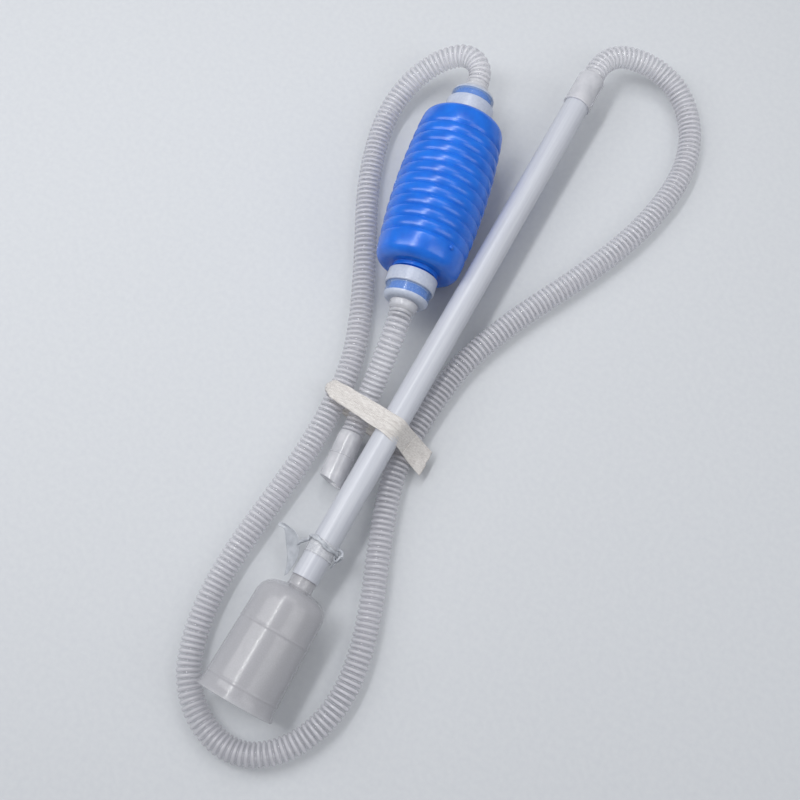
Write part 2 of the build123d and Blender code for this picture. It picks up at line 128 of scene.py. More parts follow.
# ---------------------------------------------------------------- hose routes
# Control points of the hoses' centre lines, in metres.
MAIN_ROUTE = [
    (0.025, 0.1982, 0.0208), (0.025, 0.2077, 0.0208), (0.0325, 0.2185, 0.019),
    (0.0465, 0.224, 0.015), (0.063, 0.224, 0.0105), (0.077, 0.216, 0.0078), (0.0895, 0.199, 0.007),
    (0.0955, 0.176, 0.0068), (0.094, 0.151, 0.007), (0.087, 0.122, 0.0069), (0.0735, 0.09, 0.0071),
    (0.052, 0.048, 0.007), (0.039, 0.014, 0.0071), (0.0355, -0.012, 0.0074),
    (0.0343, -0.04, 0.0076), (0.036, -0.06, 0.0074), (0.0455, -0.09, 0.007), (0.06, -0.125, 0.0068),
    (0.069, -0.158, 0.007), (0.0675, -0.185, 0.0069), (0.056, -0.207, 0.0071),
    (0.0375, -0.219, 0.007), (0.016, -0.216, 0.0068), (-0.0025, -0.2015, 0.007),
    (-0.0115, -0.18, 0.0071), (-0.0155, -0.155, 0.0069), (-0.015, -0.127, 0.007),
    (-0.0118, -0.097, 0.0071), (-0.0094, -0.066, 0.0075), (-0.0104, -0.036, 0.0076),
    (-0.0134, -0.015, 0.0073), (-0.0225, 0.01, 0.007), (-0.0385, 0.043, 0.0069),
    (-0.0545, 0.073, 0.007), (-0.064, 0.097, 0.0071), (-0.0695, 0.119, 0.0076),
    (-0.07, 0.136, 0.0095), (-0.066, 0.152, 0.014), (-0.0573, 0.1646, 0.0195),
    (-0.0479, 0.171, 0.0235), (-0.0412, 0.1718, 0.0253), (-0.035, 0.1691, 0.026),
    tuple(along(inlet_place, INLET_LEAD)), tuple(along(inlet_place, HOSE_START)),
]
OUTLET_ROUTE = [
    tuple(along(outlet_place, HOSE_START)), tuple(along(outlet_place, OUTLET_LEAD)),
    (0.003, -0.008, 0.0213), (0.0042, -0.0225, 0.0148), (0.005, -0.034, 0.0104),
    tuple(along(nozzle_place, -NOZZLE_LEAD)), tuple(along(nozzle_place, 0)),
]
RIDGE_PITCH = 2.9       # moulded ridges of the corrugated hose, crest to crest
RIDGE_DEPTH = 1.05
RIDGE_STEPS = 6         # rings to each ridge
HOSE_SIDES = 22
HAIR = 1.0000001        # keeps a rounding error from adding one ring


def route_points(points):
    """Points read from the smooth spline that has the route's points as its control points."""
    line = bpy.data.curves.new("hose_route", "CURVE")
    line.dimensions = "3D"
    spline = line.splines.new("NURBS")
    spline.points.add(len(points) - 1)
    for control, point in zip(spline.points, points):
        control.co = (*point, 1.0)
    spline.order_u = 3
    spline.use_endpoint_u = True
    spline.resolution_u = 20
    holder = bpy.data.objects.new("hose_route", line)
    bpy.context.scene.collection.objects.link(holder)
    bpy.context.view_layer.update()
    shaped = holder.evaluated_get(bpy.context.evaluated_depsgraph_get())
    mesh = bpy.data.meshes.new_from_object(shaped)
    found = [v.co.copy() for v in mesh.vertices]
    bpy.data.objects.remove(holder)
    return found


def spaced(points, step):
    """The line through the points as (point, tangent) pairs, evenly spaced by about step metres."""
    reach = [0.0]
    for here, there in zip(points, points[1:]):
        reach.append(reach[-1] + (there - here).length)
    count = ceil(reach[-1] / step)
    rings, i = [], 0
    for n in range(count + 1):
        wanted = reach[-1] * n / count
        while i < len(points) - 2 and reach[i + 1] < wanted:
            i += 1
        share = (wanted - reach[i]) / (reach[i + 1] - reach[i])
        rings.append(points[i].lerp(points[i + 1], share))
    tangents = [
        (rings[min(n + RIDGE_STEPS, count)] - rings[max(n - RIDGE_STEPS, 0)]).normalized()
        for n in range(count + 1)
    ]
    return list(zip(rings, tangents))


def ridge_drop(phase):
    """How far down the hose's wall is at this share of a ridge: 1 in a valley, 0 on the crest."""
    return (2 * phase - 1) ** 2


def corrugated_hose(name, points):
    """A hose with convex moulded ridges, closed at both ends, and its length in metres."""
    length = sum((b - a).length for a, b in zip(points, points[1:]))
    ridges = round(length / (RIDGE_PITCH * MM))
    rings = spaced(points, length / (ridges * RIDGE_STEPS) * HAIR)
    side = UP.cross(rings[0][1]).normalized()
    verts, faces, heights = [], [], []
    for n, (centre, tangent) in enumerate(rings):
        side = (side - tangent * side.dot(tangent)).normalized()
        other = tangent.cross(side)
        drop = ridge_drop((n % RIDGE_STEPS) / RIDGE_STEPS)
        radius = (HOSE_R - RIDGE_DEPTH * drop) * MM
        for k in range(HOSE_SIDES):
            turn = 2 * pi * k / HOSE_SIDES
            verts.append(centre + (side * cos(turn) + other * sin(turn)) * radius)
            heights.append(1 - drop)
    for n in range(len(rings) - 1):
        for k in range(HOSE_SIDES):
            a, b = n * HOSE_SIDES + k, n * HOSE_SIDES + (k + 1) % HOSE_SIDES
            faces.append((a, b, b + HOSE_SIDES, a + HOSE_SIDES))
    last = (len(rings) - 1) * HOSE_SIDES
    faces.append(tuple(reversed(range(HOSE_SIDES))))
    faces.append(tuple(range(last, last + HOSE_SIDES)))
    mesh = bpy.data.meshes.new(name)
    mesh.from_pydata(verts, [], faces)
    crest = mesh.attributes.new("crest", "FLOAT", "POINT")
    crest.data.foreach_set("value", heights)
    mesh.polygons.foreach_set("use_smooth", [True] * len(faces))
    hose = bpy.data.objects.new(name, mesh)
    bpy.context.scene.collection.objects.link(hose)
    return hose, length


main_points = route_points(MAIN_ROUTE)
main_hose, main_length = corrugated_hose("corrugated_main_hose", main_points)
outlet_hose, _ = corrugated_hose("corrugated_outlet_hose", route_points(OUTLET_ROUTE))


# ---------------------------------------------------------------- modelling by hand
def start_alone():
    """Returns to object mode with nothing selected, ready for a new primitive."""
    if bpy.context.object and bpy.context.object.mode != "OBJECT":
        bpy.ops.object.mode_set(mode="OBJECT")
    bpy.ops.object.select_all(action="DESELECT")


def pick(*objects):
    """Selects these objects alone, the last of them active."""
    start_alone()
    for piece in objects:
        piece.select_set(True)
    bpy.context.view_layer.objects.active = objects[-1]


def rounded(outline, steps=5):
    """The outline with each corner that has a third number rounded to that radius."""
    soft = []
    for i, (s, r, *radius) in enumerate(outline):
        if not radius:
            soft.append((s, r))
            continue
        corner = Vector((s, r))
        back = (Vector(outline[i - 1][:2]) - corner).normalized()
        ahead = (Vector(outline[(i + 1) % len(outline)][:2]) - corner).normalized()
        half = back.angle(ahead) / 2
        reach = radius[0] / tan(half)
        centre = corner + (back + ahead).normalized() * radius[0] / sin(half)
        first = (corner + back * reach - centre).normalized()
        last = (corner + ahead * reach - centre).normalized()
        for k in range(steps + 1):
            soft.append(tuple(centre + first.slerp(last, k / steps) * radius[0]))
    return soft


def turned(name, outline, place, sides=72, sharp=40):
    """Draws a closed outline of (distance along the axis, radius) and spins it about that axis."""
    start_alone()
    bpy.ops.mesh.primitive_plane_add(size=MM)
    piece = bpy.context.object
    piece.name = name
    bpy.ops.object.mode_set(mode="EDIT")
    bpy.ops.mesh.merge(type="CENTER")
    points = [Vector((s * MM, r * MM, 0)) for s, r in outline]
    bpy.ops.transform.translate(value=points[0])
    for here, there in zip(points, points[1:] + points[:1]):
        bpy.ops.mesh.extrude_region_move(TRANSFORM_OT_translate={"value": there - here})
    bpy.ops.mesh.select_all(action="SELECT")
    bpy.ops.mesh.spin(steps=sides, angle=2 * pi, center=(0, 0, 0), axis=(1, 0, 0))
    bpy.ops.mesh.select_all(action="SELECT")
    bpy.ops.mesh.remove_doubles(threshold=0.002 * MM)
    bpy.ops.mesh.normals_make_consistent(inside=False)
    bpy.ops.object.mode_set(mode="OBJECT")
    bpy.ops.object.shade_smooth_by_angle(angle=radians(sharp))
    piece.matrix_world = place
    bpy.ops.object.transform_apply(location=True, rotation=True, scale=True)
    return piece


def joined(name, *pieces):
    """One piece made of several."""
    pick(*pieces)
    bpy.ops.object.join()
    bpy.context.object.name = name
    return bpy.context.object


def sheet_of(name, rows, thick, closed=False):
    """A thin sheet through rows of points in metres, given a thickness. Closed joins its ends."""
    across = len(rows[0])
    verts = [point for row in rows for point in row]
    faces = []
    for n in range(len(rows) if closed else len(rows) - 1):
        ahead = (n + 1) % len(rows)
        for k in range(across - 1):
            a, b = n * across + k, ahead * across + k
            faces.append((a, b, b + 1, a + 1))
    mesh = bpy.data.meshes.new(name)
    mesh.from_pydata(verts, [], faces)
    mesh.polygons.foreach_set("use_smooth", [True] * len(faces))
    piece = bpy.data.objects.new(name, mesh)
    bpy.context.scene.collection.objects.link(piece)
    pick(piece)
    wall = piece.modifiers.new("wall", "SOLIDIFY")
    wall.thickness = thick * MM
    wall.offset = 0
    bpy.ops.object.modifier_apply(modifier=wall.name)
    return piece


def strand(name, points, radii):
    """A soft strand of film along points in millimetres, its radius at each point given."""
    line = bpy.data.curves.new(name, "CURVE")
    line.dimensions = "3D"
    line.bevel_depth = MM
    line.bevel_resolution = 3
    line.use_fill_caps = True
    spline = line.splines.new("NURBS")
    spline.points.add(len(points) - 1)
    for control, point, radius in zip(spline.points, points, radii):
        control.co = (*(c * MM for c in point), 1.0)
        control.radius = radius
    spline.order_u = 3
    spline.use_endpoint_u = True
    spline.resolution_u = 6
    piece = bpy.data.objects.new(name, line)
    bpy.context.scene.collection.objects.link(piece)
    pick(piece)
    bpy.ops.object.convert(target="MESH")
    bpy.ops.object.shade_smooth()
    return bpy.context.object


# ---------------------------------------------------------------- gravel cup
# A slightly conical cup, open below, with a rounded shoulder, two fine rings and a thin flared rim.
CUP_PLUG = 12.0         # how far its neck reaches into the tube
CUP_PLUG_R = 6.25
CUP_NECK_R = 6.6
CUP_NECK_BORE_R = 5.05
CUP_SHOULDER = 5.5      # from the tube's end to the cup's shoulder, along the axis
CUP_SIDE_START = 8.5
CUP_SIDE_END = 63.9
CUP_FLARE = 63.0        # where the rim starts to open out
CUP_FLARE_MIDDLE = 65.2
CUP_LIP = 67.0
CUP_MOUTH = 67.5
CUP_TOP_R = 18.4
CUP_LOW_R = 19.7
CUP_RIM_R = 20.8
CUP_WALL = 1.3
CUP_RINGS = (29.5, 59.5)
CUP_RING_RISE = 0.22


def cup_side(s):
    """Outer radius of the cup's side."""
    share = (s - CUP_SIDE_START) / (CUP_SIDE_END - CUP_SIDE_START)
    return CUP_TOP_R + share * (CUP_LOW_R - CUP_TOP_R)


def cup_outline():
    """Down the outside from the neck's plug to the mouth, then back up the inside."""
    outline = [
        (-CUP_PLUG, CUP_NECK_BORE_R), (-CUP_PLUG, CUP_PLUG_R, 0.4), (0.05, CUP_PLUG_R),
        (0.05, CUP_NECK_R, 0.15), (CUP_SHOULDER, CUP_NECK_R, 1.4), (CUP_SIDE_START, CUP_TOP_R, 9.0),
        (19.0, cup_side(19.0)),
    ]
    for ring in CUP_RINGS:
        side = cup_side(ring)
        outline += [
            (ring - 1.3, cup_side(ring - 1.3)), (ring - 0.6, side),
            (ring - 0.25, side + CUP_RING_RISE), (ring + 0.25, side + CUP_RING_RISE),
            (ring + 0.6, side), (ring + 1.3, cup_side(ring + 1.3)),
        ]
    outline += [
        (CUP_FLARE - 0.8, cup_side(CUP_FLARE - 0.8)), (CUP_FLARE, cup_side(CUP_FLARE)),
        (CUP_FLARE_MIDDLE, 20.1), (CUP_LIP - 0.4, CUP_RIM_R - 0.05), (CUP_LIP, CUP_RIM_R, 0.3),
        (CUP_MOUTH, CUP_RIM_R - 0.05, 0.3), (CUP_MOUTH, CUP_RIM_R - 1.1, 0.3),
        (CUP_FLARE_MIDDLE, 18.9), (CUP_FLARE, CUP_LOW_R - CUP_WALL),
        (CUP_SIDE_START + CUP_WALL, CUP_TOP_R - CUP_WALL, 7.7),
        (CUP_SHOULDER + CUP_WALL, CUP_NECK_BORE_R, 0.6),
    ]
    return rounded(outline, steps=9)


cup = turned("frosted_gravel_cup", cup_outline(), tube_foot, sides=96)

# ---------------------------------------------------------------- intake tube and its cuff
tube = turned(
    "milky_intake_tube",
    rounded([
        (0, TUBE_R, 0.2), (-TUBE_LENGTH / 2, TUBE_R), (-TUBE_LENGTH, TUBE_R, 0.2),
        (-TUBE_LENGTH, TUBE_BORE_R, 0.2), (-TUBE_LENGTH / 2, TUBE_BORE_R), (0, TUBE_BORE_R, 0.2),
    ], steps=3),
    tube_head,
)


def hose_cuff(name, place, mouth, stop, bore):
    """The smooth end of a hose: a rolled lip, a plain sleeve, a step and the hose's first ridge."""
    wall = bore + CUFF_WALL
    nose = stop + CUFF_END
    outline = [
        (mouth, bore + 0.05, 0.2), (mouth, wall - 0.15, 0.3), (mouth + 0.9, wall, 0.3),
        (mouth + 1.6, wall - 0.25), (stop - 0.6, wall - 0.25, 0.5),
        (stop + 1.2, HOSE_R + 0.25, 0.3), (stop + 1.7, HOSE_R - 0.35), (stop + 2.1, HOSE_R, 0.1),
        (nose - 0.5, HOSE_R, 0.1), (nose, HOSE_R - 0.5), (nose, HOSE_BORE_R),
        (stop + 0.1, HOSE_BORE_R), (stop + 0.1, bore + 0.05),
    ]
    return turned(name, rounded(outline, steps=4), place, sides=64)


intake_cuff = hose_cuff("intake_hose_cuff", tube_head, -TUBE_LAP, 0, TUBE_R)

# ---------------------------------------------------------------- pump bulb
BULB_MID_R = 26.0
BULB_END_R = 22.7
BULB_WALL = 1.1
BULB_BORE_R = 23.2      # inside, between the shoulders
BULB_BORE_END_R = 19.2
END_FACE_R = 14.5
NECK_WALL = 1.6
NECK_ROOT = 1.8         # the thicker foot of the neck
NECK_ROOT_R = NECK_R + 1.9
GROOVES = 11
GROOVE_PITCH = 6.6
GROOVE_DEPTH = 1.1
GROOVE_STEPS = 8        # rings to each rib
GROOVE_SHARPNESS = 2.6


def barrel(s):
    """The barrel's outer radius, largest at its middle."""
    return BULB_MID_R - (BULB_MID_R - BULB_END_R) * (s / HALF_BULB) ** 2


def bulb_outline():
    """Neck, end, ribbed barrel, the other end and neck, then back through the bore."""
    bead, root = HALF_BULB + BEAD_PLACE, HALF_BULB + NECK_ROOT
    neck = [
        (HALF_BULB + NECK_LENGTH, NECK_R, 0.4), (bead + 0.9, NECK_R),
        (bead + 0.45, NECK_R + BEAD_RISE), (bead - 0.45, NECK_R + BEAD_RISE), (bead - 0.9, NECK_R),
        (root, NECK_R), (root, NECK_ROOT_R, 0.5), (HALF_BULB - 0.3, NECK_ROOT_R, 0.3),
        (HALF_BULB, END_FACE_R, 0.5), (HALF_BULB, BULB_END_R - 0.2, 6.0),
    ]
    ribs = []
    for n in range((GROOVES - 1) * GROOVE_STEPS + 1):
        s = GROOVE_PITCH * (n / GROOVE_STEPS - (GROOVES - 1) / 2)
        dip = abs(2 * ((n / GROOVE_STEPS) % 1) - 1) ** GROOVE_SHARPNESS
        ribs.append((s, barrel(s) - 0.1 - (GROOVE_DEPTH - 0.1) * dip))
    lead = [
        (s, barrel(s) - GROOVE_DEPTH * drop)
        for s, drop in ((-35.6, 0.05), (-34.6, 0.2), (-33.7, 0.6))
    ]
    outside = [(-s, r, *more) for s, r, *more in neck] + lead + ribs
    outside += [(-s, r) for s, r in reversed(lead)] + list(reversed(neck))
    inner, inside_end = NECK_R - NECK_WALL, HALF_BULB - BULB_WALL
    bore = [
        (HALF_BULB + NECK_LENGTH, inner), (inside_end, inner), (inside_end, BULB_BORE_END_R, 4.0),
        (15.0, BULB_BORE_R), (-15.0, BULB_BORE_R), (-inside_end, BULB_BORE_END_R, 4.0),
        (-inside_end, inner), (-HALF_BULB - NECK_LENGTH, inner),
    ]
    return rounded(outside + bore, steps=7)


MARK_R = 1.3
MARK_PLACE = -36.0      # along the bulb's axis
MARK_LEAN = radians(42)


def gate_mark():
    """The small round mark that the mould leaves near the bulb's outlet end, on its right."""
    start_alone()
    bpy.ops.mesh.primitive_uv_sphere_add(segments=16, ring_count=8, radius=MARK_R * MM)
    bpy.ops.object.mode_set(mode="EDIT")
    bpy.ops.transform.resize(value=(1, 1, 0.6))
    bpy.ops.object.mode_set(mode="OBJECT")
    bpy.ops.object.shade_smooth()
    mark = bpy.context.object
    spot = Vector((MARK_PLACE, 0, barrel(MARK_PLACE) + 0.1)) * MM
    mark.matrix_world = bulb_place @ Matrix.Rotation(MARK_LEAN, 4, "X") @ Matrix.Translation(spot)
    bpy.ops.object.transform_apply(location=True, rotation=True, scale=True)
    return mark


barrel_shell = turned("bulb_shell", bulb_outline(), bulb_place, sides=96, sharp=50)
bulb = joined("ribbed_pump_bulb", gate_mark(), barrel_shell)


# ---------------------------------------------------------------- snap caps and their cuffs
COLLAR_R = 13.6
DRUM_R = 12.3
CAP_BORE_R = 10.55
CAP_FLOOR = 17.85       # where the bore ends
BEAD_GROOVE_R = 11.35
SPIGOT_R = 6.8
SPIGOT_BORE_R = 5.2


def snap_cap(name, place):
    """A thick milky collar, a thin clear drum with a round milky shoulder, and a spigot."""
    outline = [
        (COLLAR_START, CAP_BORE_R), (COLLAR_START, COLLAR_R, 0.5), (COLLAR_END, COLLAR_R, 0.8),
        (COLLAR_END, DRUM_R, 0.3), (CAP_END, DRUM_R - 0.2, 3.0), (CAP_END, 8.9),
        (CAP_END, SPIGOT_R), (SPIGOT_END, SPIGOT_R, 0.2), (SPIGOT_END, SPIGOT_BORE_R),
        (CAP_FLOOR, SPIGOT_BORE_R), (CAP_FLOOR, CAP_BORE_R), (CLEAR_END, CAP_BORE_R),
        (COLLAR_END, CAP_BORE_R),
        # A groove for the neck's snap bead, with room for the neck to be pushed in.
        (8.9, CAP_BORE_R), (8.6, BEAD_GROOVE_R), (4.5, BEAD_GROOVE_R), (4.2, CAP_BORE_R),
    ]
    return turned(name, rounded(outline, steps=6), place, sides=96)


inlet_cap = snap_cap("inlet_snap_cap", inlet_place)
outlet_cap = snap_cap("outlet_snap_cap", outlet_place)
on_spigot = (CAP_END + 0.05, SPIGOT_END, SPIGOT_R + 0.05)
inlet_cuff = hose_cuff("inlet_hose_cuff", inlet_place, *on_spigot)
outlet_cuff = hose_cuff("outlet_hose_cuff", outlet_place, *on_spigot)

# ---------------------------------------------------------------- outlet nozzle
NOZZLE_LENGTH = 28.0
NOZZLE_R = 7.0
NOZZLE_BORE_R = 5.75
NOZZLE_RING_R = 7.3
SLANT_START = 20.0      # from here on its end leans over
NOZZLE_SLANT = radians(14.0)

nozzle = turned(
    "clear_outlet_nozzle",
    rounded([
        (0.05, HOSE_BORE_R), (0.05, HOSE_R, 0.3), (2.4, NOZZLE_R, 0.4), (12.1, NOZZLE_R),
        (12.4, NOZZLE_R), (12.6, NOZZLE_RING_R), (13.3, NOZZLE_RING_R), (13.5, NOZZLE_R),
        (13.8, NOZZLE_R), (SLANT_START, NOZZLE_R), (NOZZLE_LENGTH, NOZZLE_R, 0.3),
        (NOZZLE_LENGTH, NOZZLE_BORE_R, 0.3), (SLANT_START, NOZZLE_BORE_R),
        (2.4, NOZZLE_BORE_R, 0.3), (1.2, HOSE_BORE_R),
    ], steps=4),
    Matrix.Identity(4), sides=64,
)
for vertex in nozzle.data.vertices:
    past = max(0.0, vertex.co.x / MM - SLANT_START) / (NOZZLE_LENGTH - SLANT_START)
    vertex.co.x += past * vertex.co.y * tan(NOZZLE_SLANT)
nozzle.data.transform(nozzle_place)

# ---------------------------------------------------------------- bundle tie
# Stretched film wound tightly round both passes of the hose, the outlet hose and the tube.
TIE_CENTRE = Vector((15.0, -40.0, 0))
TIE_TURN = radians(9.0)
TIE_RIGHT = Vector((cos(TIE_TURN), -sin(TIE_TURN), 0))
TIE_ALONG = Vector((sin(TIE_TURN), cos(TIE_TURN), 0))
# What the film is wound on, as circles across the bundle: the hose's two passes and the tube.
TIED = [(-25.9, 7.75, HOSE_R + 0.85), (19.3, 7.75, HOSE_R + 0.85), (10.1, 20.8, TUBE_R + 0.45)]
TIED_SIDES = 90
TIE_LEFT = -33.3        # the band's left end across the bundle
TIE_PLEAT = 1.25        # between the fine folds of the stretched film
TIE_FILM = 0.16         # its thickness
BAND_STEPS = 220        # round the band
TAIL_STEPS = 28
FILM_STEPS = 32         # across the band and its tail


def tie_loop(steps):
    """The closed line round the three tied circles, as evenly spaced points with normals."""
    cloud = sorted(
        (x + r * cos(2 * pi * k / TIED_SIDES), z + r * sin(2 * pi * k / TIED_SIDES))
        for x, z, r in TIED for k in range(TIED_SIDES)
    )

    def side(points):
        """One side of the cloud's convex hull."""
        kept = []
        for p in points:
            while len(kept) > 1 and (
                (kept[-1][0] - kept[-2][0]) * (p[1] - kept[-2][1])
                - (kept[-1][1] - kept[-2][1]) * (p[0] - kept[-2][0])
            ) <= 0:
                kept.pop()
            kept.append(p)
        return kept[:-1]

    hull = [Vector(p) for p in side(cloud) + side(reversed(cloud))]
    hull.append(hull[0])
    reach = [0.0]
    for here, there in zip(hull, hull[1:]):
        reach.append(reach[-1] + (there - here).length)
    line, i = [], 0
    for n in range(steps):
        wanted = reach[-1] * n / steps
        while reach[i + 1] < wanted:
            i += 1
        share = (wanted - reach[i]) / (reach[i + 1] - reach[i])
        run = (hull[i + 1] - hull[i]).normalized()
        line.append((hull[i].lerp(hull[i + 1], share), Vector((run.y, -run.x))))
    return line


def tie_point(x, z, w):
    """A point of the tie in metres: x to the right, z up, w along the bundle."""
    return (TIE_CENTRE + TIE_RIGHT * x + UP * z + TIE_ALONG * w) * MM


def film_band():
    """The band itself, narrower on the left, with fine pleats and a pinched fold at its left."""
    rows = []
    for n, (spot, normal) in enumerate(tie_loop(BAND_STEPS)):
        share = (spot.x + 33) / 60
        half = 4.9 + 1.5 * share + 0.35 * noise.noise(Vector((n * 0.09, 2.0, 0)))
        pinch = 3.0 * max(0.0, 1 - abs(spot.x - TIE_LEFT) / 6)
        fold = max(0.0, 1 - abs(spot.x - TIE_LEFT) / 2.2) * max(0.0, 1 - abs(spot.y - 10.5) / 4.5)
        row = []
        for k in range(FILM_STEPS + 1):
            v = 2 * k / FILM_STEPS - 1
            w = v * half + pinch * max(0.0, -v)
            wander = 0.6 * noise.noise(Vector((n * 0.05, w * 0.3, 5.0)))
            pleat = 0.27 * sin(2 * pi * (w + wander) / TIE_PLEAT)
            pleat += 0.25 * noise.noise(Vector((n * 0.04, w, 0)))
            out = pleat + fold * 1.9 * max(0.0, 1 - abs(w - 0.8) / 3.2)
            place = spot + normal * out
            row.append(tie_point(place.x, max(place.y, 0.25), w))
        rows.append(row)
    return sheet_of("stretch_film_tie", rows, TIE_FILM, closed=True)


def bent(start, middle, end, t):
    """A value that leaves start towards middle and comes to end as t goes from 0 to 1."""
    return (1 - t) ** 2 * start + 2 * t * (1 - t) * middle + t * t * end


def film_tail():
    """The film's loose end: it leaves the band on the right of the bundle and fans out from it."""
    rows = []
    for n in range(TAIL_STEPS + 1):
        t = n / TAIL_STEPS
        half = 6.3 + 0.8 * t
        row = []
        for k in range(FILM_STEPS + 1):
            v = 2 * k / FILM_STEPS - 1
            ripple = 0.24 * sin(2 * pi * v * half / TIE_PLEAT) * (1 - 0.4 * t)
            ripple += 0.5 * t * noise.noise(Vector((t * 3, v * 3, 1)))
            edge = 0.6 * noise.noise(Vector((v * 2.5, 8, 0)))
            reach = 33.7 + edge - 1.2 * v * v + 2.6 * max(0.0, -v)
            x = bent(22.0, 25.9, reach, t)
            z = bent(17.1, 12.0, 7.2, t)
            row.append(tie_point(x + 0.6 * ripple, z + ripple, v * half - t))
        rows.append(row)
    return sheet_of("film_tie_tail", rows, TIE_FILM)


tie = film_band()
tie_tail = film_tail()

# ---------------------------------------------------------------- film strip and flag on the tube
STRIP_Y = -113.0        # along the tube, in the frame
STRIP_R = TUBE_R + 0.3
WRAP_FILM = 0.1         # film thicknesses
FLAG_FILM = 0.14
WRAP_SIDES = 96
WRAP_STEPS = 14
FLAG_STEPS = 36
FLAG_ACROSS = 16


def ring_point(turn, radius, y):
    """A point round the tube in millimetres: turn 0 is its right side, a quarter turn its top."""
    return (tube_middle.x / MM + radius * cos(turn), y, tube_middle.z / MM + radius * sin(turn))


def film_wrap():
    """The thin crumpled film under the knotted strip, wrapped once round the tube."""
    rows = []
    for n in range(WRAP_SIDES):
        turn = 2 * pi * n / WRAP_SIDES
        row = []
        for k in range(WRAP_STEPS + 1):
            t = k / WRAP_STEPS
            y = STRIP_Y + 3.6 - 8.2 * t
            y += 0.7 * noise.noise(Vector((cos(turn) * 1.5, sin(turn) * 1.5, t * 0.6)))
            crease = noise.noise(Vector((cos(turn) * 2.5, sin(turn) * 2.5, t * 5)))
            row.append(Vector(ring_point(turn, STRIP_R + 0.12 + 0.22 * crease, y)) * MM)
        rows.append(row)
    return sheet_of("film_wrap", rows, WRAP_FILM, closed=True)


def twisted_strip():
    """The strip rolled up: two strands round the tube, knotted right, with the flag's neck left."""
    strands = []
    for lift, phase, thick in ((0.0, 0.0, 0.85), (1.3, 1.2, 0.6)):
        points, radii = [], []
        for n in range(26):
            turn = pi * (1.02 - 2.0 * n / 25)
            y = STRIP_Y + 2.0 - 1.2 * cos(turn) + lift * sin(3 * turn + phase)
            points.append(ring_point(turn, STRIP_R + 0.75 + 0.2 * sin(5 * turn + phase), y))
            radii.append(thick * (1 + 0.3 * sin(9 * turn + phase)))
        strands.append(strand("strip_strand", points, radii))
    for wide, tall, lean, thick in ((2.325, 2.6, 1.5, 0.75), (1.5, 3.4, -1.8, 0.6)):
        points = []
        for n in range(15):
            turn = 2 * pi * n / 14
            points.append((
                33.6 + wide * cos(turn),
                STRIP_Y + 1.2 + tall * sin(turn),
                20.8 + lean * sin(turn) + 1.5 * cos(2 * turn),
            ))
        strands.append(strand("knot_loop", points, [thick] * 15))
    strands.append(strand(
        "strip_tail",
        [(34.0, -112.6, 20.5), (34.6, -114.5, 19.6), (33.9, -116.6, 19.0), (33.2, -118.9, 18.4)],
        [0.7, 0.6, 0.5, 0.25],
    ))
    for shift, thick in ((0.5, 0.95), (-0.55, 0.8)):
        strands.append(strand(
            "flag_neck",
            [(17.2, -111.2 + shift, 20.4), (15.6, -112.0 - shift, 19.4),
             (14.0, -113.4 + shift, 17.6), (12.6, -114.9 - shift / 2, 16.2), (12.0, -116.4, 15.2)],
            [0.8, thick, thick, thick * 0.9, 0.4],
        ))
    return joined("twisted_film_strip", *strands)


def edge_point(points, t):
    """The point at t, counted in points, on a smooth line through the points."""
    i = min(int(t), len(points) - 2)
    f = t - i
    picked = (max(i - 1, 0), i, i + 1, min(i + 2, len(points) - 1))
    a, b, c, d = (Vector(points[n]) for n in picked)
    return 0.5 * (
        2 * b + (c - a) * f + (2 * a - 5 * b + 4 * c - d) * f * f + (3 * b - a - 3 * c + d) * f ** 3
    )


def film_flag():
    """The strip's loose end: a curved leaf of film with a curled tip, leaning from the tube."""
    # Left edge and right edge of the leaf, from its curled tip to its lower point, in millimetres.
    left = [
        (-2.6, -111.6, 12.0), (-1.0, -112.6, 14.4), (2.2, -112.8, 15.0), (6.0, -117.8, 12.8),
        (10.2, -124.0, 11.2), (12.2, -128.6, 10.6), (13.5, -132.6, 10.4),
    ]
    right = [
        (-2.2, -110.6, 12.6), (-0.4, -110.0, 15.4), (4.0, -110.3, 16.4), (9.4, -111.6, 16.6),
        (13.6, -116.2, 16.4), (15.6, -123.6, 14.4), (14.6, -131.2, 11.8),
    ]
    rows = []
    for n in range(FLAG_STEPS + 1):
        t = n / FLAG_STEPS * (len(left) - 1)
        one, two = edge_point(left, t), edge_point(right, t)
        row = []
        for k in range(FLAG_ACROSS + 1):
            v = k / FLAG_ACROSS
            bow = -0.9 * sin(pi * v) * sin(pi * n / FLAG_STEPS)
            bow += 0.2 * noise.noise(Vector((t * 0.9, v * 3, 3)))
            row.append((one.lerp(two, v) + Vector((0, 0, bow))) * MM)
        rows.append(row)
    return sheet_of("loose_film_flag", rows, FLAG_FILM)


wrap = film_wrap()
strip = twisted_strip()
flag = film_flag()


# ---------------------------------------------------------------- materials
def srgb(code):
    """A hex sRGB colour as linear RGBA."""
    parts = [int(code[i:i + 2], 16) / 255 for i in (1, 3, 5)]
    return (*(c / 12.92 if c <= 0.04045 else ((c + 0.055) / 1.055) ** 2.4 for c in parts), 1.0)


def add(tree, kind, links=None, **settings):
    """Adds a node to a material, with its settings and what is linked into it."""
    made = tree.nodes.new("ShaderNode" + kind)
    for name, value in settings.items():
        if hasattr(made, name):
            setattr(made, name, value)
        else:
            made.inputs[name.replace("_", " ")].default_value = value
    for name, socket in (links or {}).items():
        tree.links.new(socket, made.inputs[name])
    return made


def material(name, **sockets):
    """A new material whose Principled shader has these socket values."""
    made = bpy.data.materials.new(name)
    made.use_nodes = True
    shader = made.node_tree.nodes["Principled BSDF"]
    for socket, value in sockets.items():
        shader.inputs[socket.replace("_", " ")].default_value = value
    return made, made.node_tree, shader


